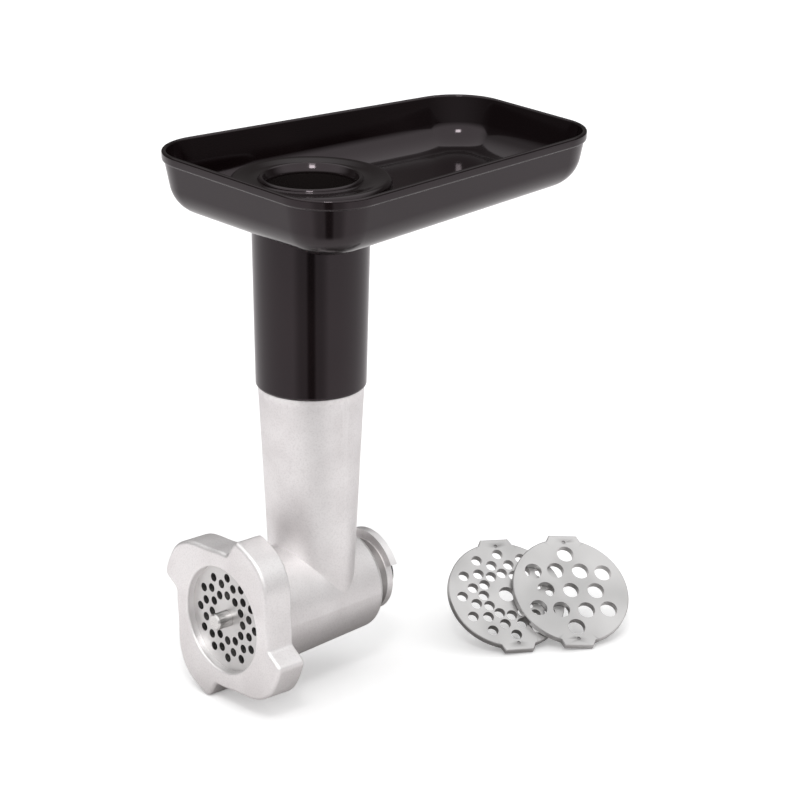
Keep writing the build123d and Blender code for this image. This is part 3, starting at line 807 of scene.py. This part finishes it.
@dataclass
class FeedChute:
    """Black sleeve between the feed tube and the tray, faintly flared towards the top."""

    foot_z: float = 109.5
    knee_z: float = 189.3
    top_z: float = 209.6
    foot_r: float = 27.1
    top_r: float = 28.6
    bore_r: float = 21.2
    socket_r: float = 23.56
    socket_z: float = 155.3
    edge: float = 1.6
    feed_y: float = -27.0 * MM
    turns: int = 160

    def build(self, palette: Palette) -> None:
        """Turn the sleeve with its rounded foot and place it.

        Args:
            palette: The finishes.
        """
        profile = arc((self.foot_r - self.edge, self.foot_z + self.edge), self.edge, -90.0, 0.0, 8)
        profile += [(self.top_r, self.knee_z), (self.top_r, self.top_z), (self.bore_r, self.top_z)]
        profile += [(self.bore_r, self.socket_z), (self.socket_r, self.socket_z)]
        profile.append((self.socket_r, self.foot_z))
        rings = [turned(r * MM, z * MM, self.turns, (0.0, self.feed_y)) for r, z in profile]
        Piece("chute_sleeve", rings).place(palette, Slot.GLOSS, Body.TRAY, "feed_chute", 40.0)


@dataclass
class RingNut:
    """Cast ring nut with four swept grip lobes and softened edges."""

    front: float = 84.5
    length: float = 16.0
    peak_r: float = 46.3
    slope_r: float = 42.1
    valley_r: float = 35.9
    lobes: int = 4
    rise: float = 76.0
    flank: float = 6.0
    crest: float = 18.0
    slope: float = 40.0
    tail: float = 67.0
    mouth_r: float = 26.9
    seat_r: float = 33.86
    seat_s: float = 80.3
    front_edge: float = 2.0
    back_edge: float = 0.9
    bore_chamfer: float = 0.8
    mouth_rim: float = 1.6
    mouth_lip: float = 1.2
    crease: float = 40.0
    soften: float = 1.5
    settle: float = 6.0
    count: int = 720

    def radius_at(self, angle: float) -> float:
        """Radius of the sharp outline.

        Args:
            angle: Angle behind a lobe's leading flank, in degrees.

        Returns:
            The radius.
        """
        pitch = 360.0 / self.lobes
        knots = (
            (0.0, self.peak_r),
            (self.crest, self.peak_r),
            (self.slope, self.slope_r),
            (self.tail, self.valley_r),
            (pitch - self.flank, self.valley_r),
            (pitch, self.peak_r),
        )
        for (here, first), (there, last) in zip(knots, knots[1:]):
            if here <= angle <= there:
                share = (angle - here) / (there - here)
                if (first, last) == (self.slope_r, self.valley_r):
                    share = math.sin(share * math.pi / 2.0)
                if (first, last) == (self.peak_r, self.slope_r):
                    share = 1.0 - math.cos(share * math.pi / 2.0)
                return first + (last - first) * share
        return self.valley_r

    def outline(self) -> list[Vector]:
        """Softened outline of the lobes, seen from the nose with x to the right and y up.

        Returns:
            Evenly spaced points, anticlockwise.
        """
        fine = 4 * self.count
        pitch = 360.0 / self.lobes
        raw = []
        for index in range(fine):
            angle = 360.0 * index / fine
            radius = self.radius_at((self.rise - angle) % pitch)
            turn = math.radians(angle)
            raw.append(Vector((radius * math.cos(turn), radius * math.sin(turn))))
        steps = [(raw[index] - raw[index - 1]).length for index in range(fine)]
        total = sum(steps)
        even: list[Vector] = []
        travelled = 0.0
        for index in range(fine):
            ahead = (index + 1) % fine
            while len(even) < self.count and len(even) * total / self.count <= travelled + steps[ahead]:
                share = (len(even) * total / self.count - travelled) / steps[ahead]
                even.append(raw[index].lerp(raw[ahead], share))
            travelled += steps[ahead]
        soft = softened(even, self.soften * self.count / total, Vector((0.0, 0.0)))
        grow = self.peak_r / max(point.length for point in soft) - 1.0
        return [point * (1.0 + grow * (point.length / self.peak_r) ** 4) for point in soft]

    def spokes(self, edge: Sequence[Vector]) -> list[Vector]:
        """Directions of the circle points that go with an outline, evened out where it runs steeply.

        Args:
            edge: Points of the outline.

        Returns:
            One unit direction for each point.
        """
        even = [2.0 * math.pi * index / len(edge) for index in range(len(edge))]
        lead = [math.atan2(point.y, point.x) - turn for point, turn in zip(edge, even)]
        lead = [(value + math.pi) % (2.0 * math.pi) - math.pi for value in lead]
        lead = softened(lead, self.settle * len(edge) / (2.0 * math.pi * self.valley_r), 0.0)
        turns = [mean + turn for mean, turn in zip(lead, even)]
        return [Vector((math.cos(turn), math.sin(turn))) for turn in turns]

    def ring(self, points: Sequence[Vector], station: float) -> Ring:
        """Stand flat points, in millimetres, at a station in front of the origin.

        Args:
            points: The points, x to the right and y up.
            station: Distance towards the nose.

        Returns:
            The ring, in metres.
        """
        return [Vector((point.x * MM, -station * MM, point.y * MM)) for point in points]

    def build(self, palette: Palette) -> None:
        """Skin the nut from its outline, mouth, plate seat and threaded bore, and place it.

        Args:
            palette: The finishes.
        """
        edge = self.outline()
        across = [edge[(index + 1) % len(edge)] - edge[index - 1] for index in range(len(edge))]
        inward = [Vector((-step.y, step.x)).normalized() for step in across]
        spokes = self.spokes(edge)
        back = self.front - self.length
        chamfer, lip = self.bore_chamfer, self.mouth_lip
        stations = [(self.back_edge, back)]
        for x, z in arc((0.0, 0.0), self.back_edge, 70.0, 0.0, 3):
            stations.append((self.back_edge - x, back + self.back_edge - z))
        for x, z in arc((0.0, 0.0), self.front_edge, 0.0, 90.0, 8):
            stations.append((self.front_edge - x, self.front - self.front_edge + z))
        circles = [(self.mouth_r + self.mouth_rim, self.front)]
        for x, z in arc((0.0, 0.0), lip, 90.0, 0.0, 5):
            circles.append((self.mouth_r + lip - x, self.front - lip + z))
        circles += [(self.mouth_r, self.seat_s), (self.seat_r, self.seat_s)]
        rings = []
        for radius, station in ((self.seat_r, back + chamfer), (self.seat_r + chamfer, back)):
            rings.append(self.ring([spoke * radius for spoke in spokes], station))
        for inset, station in stations:
            moved = [point + normal * inset for point, normal in zip(edge, inward)]
            rings.append(self.ring(moved, station))
        for radius, station in circles:
            rings.append(self.ring([spoke * radius for spoke in spokes], station))
        Piece("ring_nut_casting", rings).place(palette, Slot.CAST, Body.NUT, "ring_nut", self.crease)


@dataclass
class CarriedParts:
    """A sub-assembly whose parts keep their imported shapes, each with its finish."""

    finishes: dict[str, Slot]

    def build(self, palette: Palette) -> None:
        """Dress every part.

        Args:
            palette: The finishes.
        """
        for node, slot in self.finishes.items():
            palette.dress(node, slot)


@dataclass
class Casting(CarriedParts):
    """Housing casting with its pressed-in rear bearing parts."""

    finishes: dict[str, Slot] = field(default_factory=lambda: {
        "housing": Slot.CAST,
        "rear_bush": Slot.BRONZE,
        "shaft_seal": Slot.RUBBER,
        "thrust_washer": Slot.NYLON,
    })


@dataclass
class CuttingTrain(CarriedParts):
    """Screw, stud, knife, coupling and the plate that they cut against."""

    finishes: dict[str, Slot] = field(default_factory=lambda: {
        "auger_screw": Slot.SCREW,
        "auger_stud": Slot.TURNED,
        "coupling_screw": Slot.TURNED,
        "cross_knife": Slot.KNIFE,
        "drive_coupling": Slot.COUPLING,
        "fine_plate": Slot.PLATE,
    })


@dataclass
class SparePlates(CarriedParts):
    """The two plates that lean beside the mincer."""

    finishes: dict[str, Slot] = field(default_factory=lambda: {
        "medium_plate": Slot.SPARE,
        "coarse_plate": Slot.SPARE,
    })


@dataclass
class Studio:
    """Pale floor, soft lights and the camera."""

    camera_at: Triple = (1.120704, -0.961296, 0.623792)
    azimuth: float = 48.48
    elevation: float = 19.71
    roll: float = 0.52
    lens: float = 142.85
    half_floor: float = 6.0
    lift: float = 0.24
    surround: float = 1.25
    horizon: Triple = (0.09, 0.086, 0.085)
    dome: Triple = (1.0, 1.0, 1.0)
    # Painted shadow on the floor close under the object, seen only by reflected and bounced light.
    floor_painted_shadow: Triple = (0.24, 0.228, 0.224)
    bright_floor: Triple = (0.98, 0.96, 0.96)
    near_floor: Triple = (0.84, 0.815, 0.825)
    far_floor: Triple = (0.04, 0.038, 0.038)
    floor_gap: float = 0.15 * MM
    painted_shadow_band: Pair = (0.05, 0.16)
    near_band: Pair = (0.28, 0.48)
    far_band: Pair = (0.9, 1.5)
    card_broad: Pair = (0.80, 0.96)
    card_core: Pair = (0.985, 0.998)
    card_band: Pair = (0.22, 0.34)
    paper: float = 0.4
    paper_low: Triple = (0.93, 0.93, 0.93)
    paper_high: Triple = (0.95, 0.95, 0.95)
    facing_band: Pair = (-0.3, 0.5)
    front_rise: Pair = (0.05, 0.45)
    rear_rise: Pair = (0.45, 0.85)
    key_at: Triple = (0.80, -0.78, 1.35)
    key_aim: Triple = (0.0, 0.0, 0.05)
    key_size: Pair = (0.32, 0.32)
    key_watts: float = 5.0

    def back(self) -> Triple:
        """Unit vector from the object towards the camera.

        Returns:
            The vector.
        """
        az, el = math.radians(self.azimuth), math.radians(self.elevation)
        return math.sin(az) * math.cos(el), -math.cos(az) * math.cos(el), math.sin(el)

    def floor(self) -> None:
        """Lay the pale floor just under the lowest part; what reflects from it is darker in places."""
        z = CAD_BOUNDS[0][2] - self.floor_gap
        half = self.half_floor
        corners = [(-half, -half, z), (half, -half, z), (half, half, z), (-half, half, z)]
        mesh = bpy.data.meshes.new("studio_floor")
        mesh.from_pydata(corners, [], [(0, 1, 2, 3)])
        floor = bpy.data.objects.new("studio_floor", mesh)
        bpy.context.scene.collection.objects.link(floor)
        g = Graph.material("studio_paper")
        reach = g.vector("LENGTH", g.coordinates(), output="Value")
        # Painted shadow: the floor that reflections see is darker close round the object, where its shade
        # would fall.
        ground = g.blend(reach.ramp(*self.painted_shadow_band), self.floor_painted_shadow, self.bright_floor)
        ground = g.blend(reach.ramp(*self.near_band), ground, self.near_floor)
        ground = g.blend(reach.ramp(*self.far_band), ground, self.far_floor)
        level = Vector((self.back()[0], self.back()[1], 0.0)).normalized()
        aim = g.vector("NORMALIZE", g.vector("MULTIPLY", g.coordinates(), (1.0, 1.0, 0.0)))
        ahead = g.vector("DOT_PRODUCT", aim, tuple(level), "Value")
        card = ahead.ramp(*self.card_broad) * 0.5 + ahead.ramp(*self.card_core) * 0.45
        ground = g.blend(card * reach.ramp(*self.card_band), ground, self.far_floor)
        tint = g.blend(g.noise(self.paper, 2.0, 0.5), self.paper_low, self.paper_high)
        lit = g.node("ShaderNodeBsdfDiffuse", {}, {"Color": tint})
        glow = g.node("ShaderNodeEmission", {}, {"Color": EVEN, "Strength": self.lift})
        seen = g.node("ShaderNodeAddShader", {}, {0: lit, 1: glow})
        bounced = g.node("ShaderNodeBsdfDiffuse", {}, {"Color": ground})
        direct = g.node("ShaderNodeLightPath", {}, {}, "Is Camera Ray")
        paper = g.node("ShaderNodeMixShader", {}, {0: direct, 1: bounced, 2: seen})
        g.feed(g.end("OUTPUT_MATERIAL").inputs["Surface"], paper)
        floor.data.materials.append(g.owner)

    def lamp(self, name: str, at: Triple, aim: Triple, size: Pair, watts: float) -> None:
        """Hang one rectangular soft light.

        Args:
            name: Name of the light.
            at: Its place, in metres.
            aim: The point that it faces.
            size: Width and height, in metres.
            watts: Its power.
        """
        data = bpy.data.lights.new(name, "AREA")
        data.shape = "RECTANGLE"
        data.size, data.size_y = size
        data.energy = watts
        lamp = bpy.data.objects.new(name, data)
        lamp.location = at
        lamp.rotation_mode = "QUATERNION"
        lamp.rotation_quaternion = (Vector(aim) - Vector(at)).to_track_quat("-Z", "Y")
        bpy.context.scene.collection.objects.link(lamp)

    def light(self) -> None:
        """Light the set with a soft dome, dark at the horizon and low behind, and one soft box."""
        g = Graph(bpy.data.worlds.new("studio_surround"))
        bpy.context.scene.world = g.owner
        toward = g.node("ShaderNodeTexCoord", {}, {}, "Generated")
        facing = g.vector("DOT_PRODUCT", toward, self.back(), "Value")
        height = g.node("ShaderNodeSeparateXYZ", {}, {0: toward}, "Z")
        front = facing.ramp(*self.facing_band)
        rise = front * height.ramp(*self.front_rise) + (1 - front) * height.ramp(*self.rear_rise)
        glow = g.blend(rise, self.horizon, self.dome)
        glow = g.blend(g.node("ShaderNodeLightPath", {}, {}, "Is Camera Ray"), glow, self.dome)
        g.feed(g.end("BACKGROUND").inputs["Color"], glow)
        g.feed(g.end("BACKGROUND").inputs["Strength"], self.surround)
        self.lamp("key_box", self.key_at, self.key_aim, self.key_size, self.key_watts)
        view = bpy.context.scene.view_settings
        view.view_transform = "Standard"
        view.look = "None"

    def camera(self) -> None:
        """Stand the camera at the viewing angle, with its small roll."""
        data = bpy.data.cameras.new("camera")
        data.lens = self.lens
        data.sensor_width = 36.0
        data.clip_start, data.clip_end = 0.01, 100.0
        camera = bpy.data.objects.new("camera", data)
        camera.location = self.camera_at
        camera.rotation_mode = "QUATERNION"
        turn = (-Vector(self.back())).to_track_quat("-Z", "Y")
        camera.rotation_quaternion = turn @ Quaternion((0, 0, 1), math.radians(self.roll))
        bpy.context.scene.collection.objects.link(camera)
        bpy.context.scene.camera = camera


def main() -> None:
    """Set the studio, then build each sub-assembly in turn."""
    logging.basicConfig(level=logging.INFO)
    studio = Studio()
    studio.floor()
    studio.light()
    studio.camera()
    palette = Palette()
    for assembly in (Casting(), CuttingTrain(), RingNut(), FeedChute(), HopperTray(), SparePlates()):
        assembly.build(palette)


if __name__ == "__main__":
    main()
